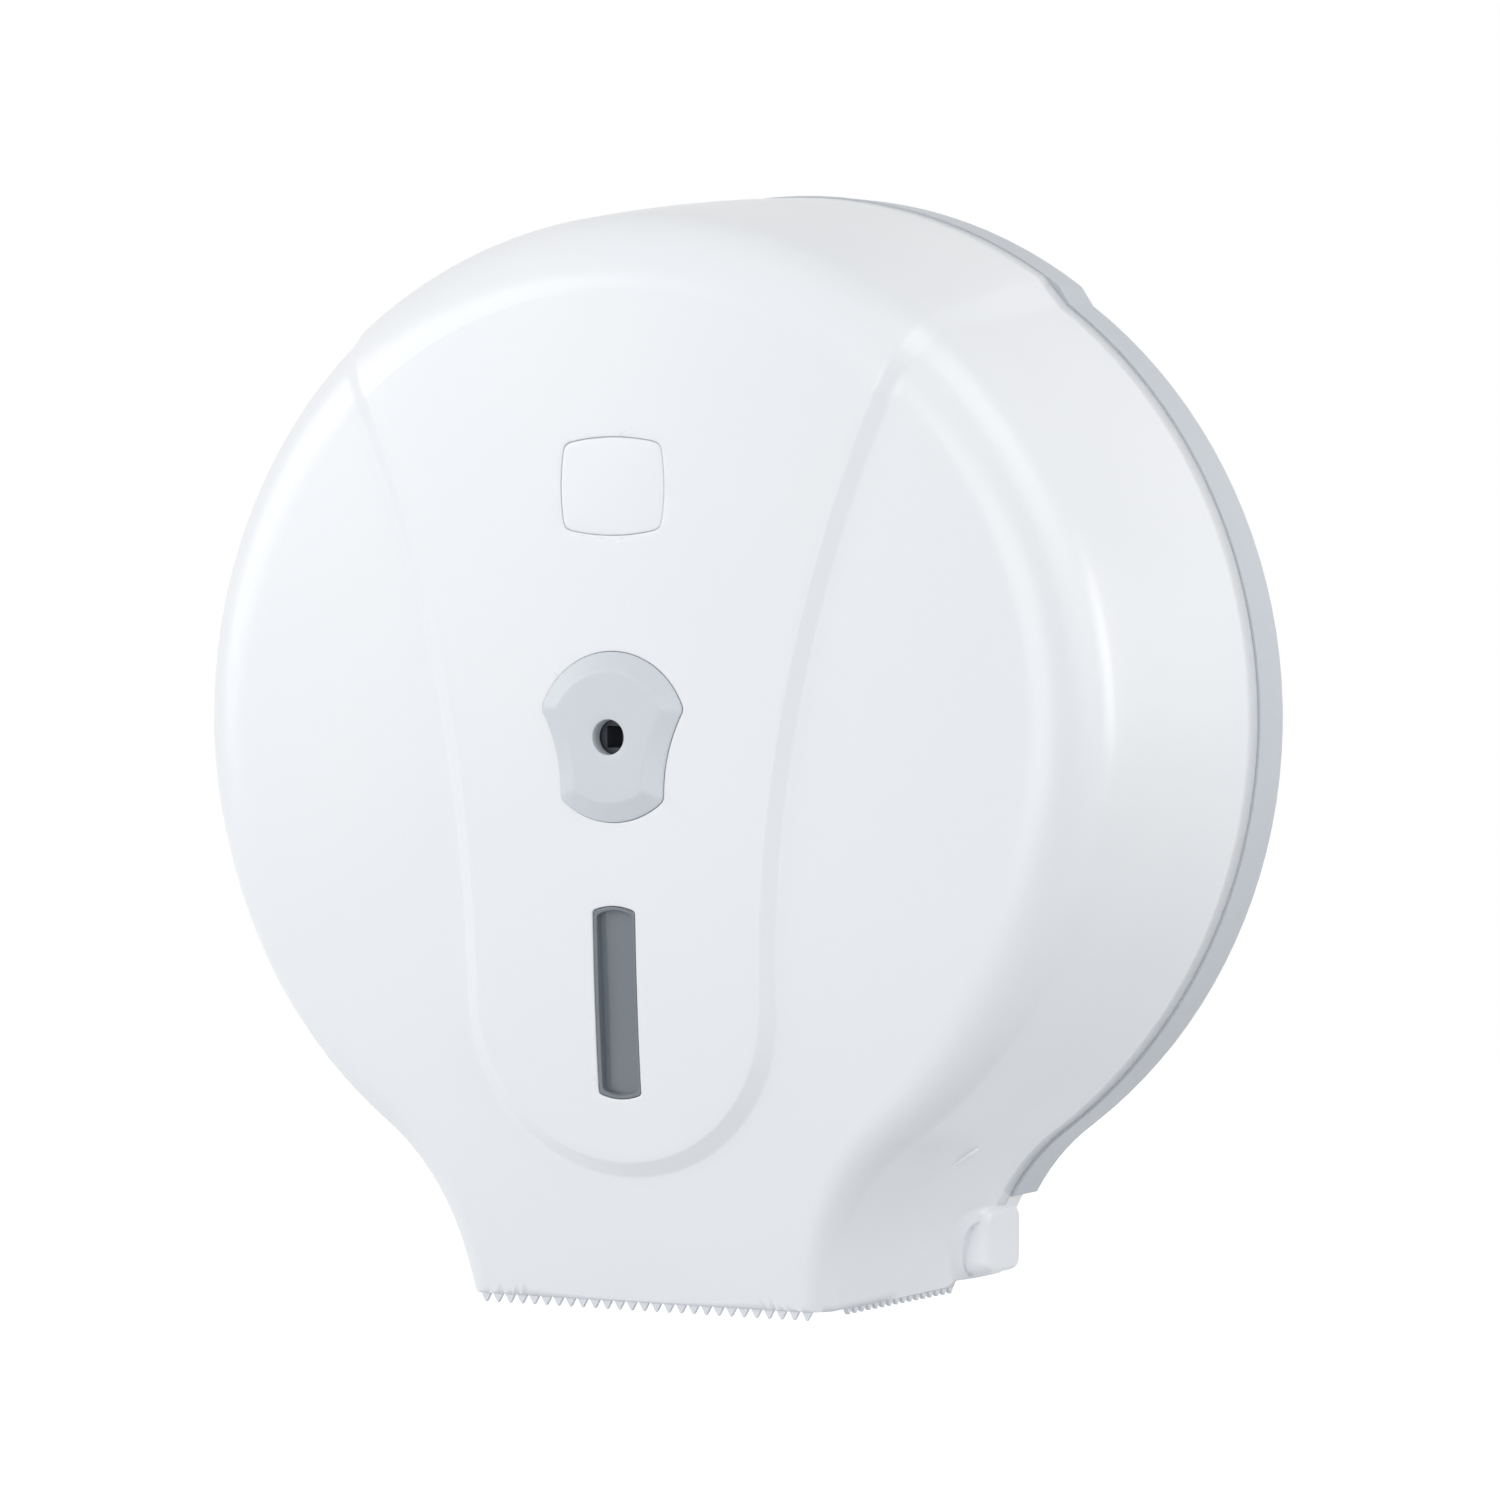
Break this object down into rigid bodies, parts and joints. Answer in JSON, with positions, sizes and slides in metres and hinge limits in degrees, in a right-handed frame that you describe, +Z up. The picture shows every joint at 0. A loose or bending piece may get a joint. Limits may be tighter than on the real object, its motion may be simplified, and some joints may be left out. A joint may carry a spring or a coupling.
{
  "type": "jumbo toilet roll dispenser",
  "caption": "Wall-mounted dispenser for a jumbo toilet roll: a round drum with a raised panel, a key lock, a sight window, a toothed paper mouth and a hinged cover.",
  "frame": {"origin": "centre of the four wall holes on the wall plane, on the axis of the roll", "axes": "-Y out of the wall towards the user, +Z up, +X to the right seen from the front"},
  "size_m": [0.276, 0.1219, 0.297],
  "materials": {
    "cover_plastic": "glossy moulded ABS",
    "base_plastic": "satin moulded ABS",
    "white_plastic": "satin moulded ABS",
    "hub_plastic": "satin polypropylene",
    "nylon": "natural nylon",
    "felt": "pressed felt",
    "steel": "zinc plated",
    "brass": "plain brass",
    "rubber": "nitrile rubber",
    "lock_plastic": "filled nylon",
    "smoked_clear": "smoked clear SAN"
  },
  "bodies": {
    "base": {"back_plate": "base_plastic", "roll_spindle": "white_plastic", "spindle_screws": "steel", "brake_washer": "felt", "hub_washer": "nylon", "lock_catch": "steel", "catch_screws": "steel", "hinge_pins": "steel"},
    "hub": {"core_hub": "hub_plastic"},
    "cover": {"front_cover": "cover_plastic", "badge_plate": "cover_plastic", "badge_clips": "steel", "window_lens": "smoked_clear", "window_clips": "steel", "lock_plate": "base_plastic", "lock_housing": "lock_plastic", "housing_screws": "steel"},
    "barrel": {"lock_barrel": "lock_plastic", "lock_o_ring": "rubber", "lock_circlip": "steel", "lock_cam": "brass", "cam_screw": "steel"}
  },
  "joints": [
    {"name": "cover_hinge", "type": "hinge", "parent": "base", "child": "cover", "pos_m": [0, -0.0165, -0.1434], "axis": [1, 0, 0], "range_deg": [0, 90]},
    {"name": "hub_spin", "type": "hinge", "parent": "base", "child": "hub", "pos_m": [0, -0.05, 0], "axis": [0, 1, 0], "continuous": true},
    {"name": "lock_turn", "type": "hinge", "parent": "cover", "child": "barrel", "pos_m": [0, -0.11, -0.0036], "axis": [0, -1, 0], "range_deg": [-90, 0]}
  ]
}
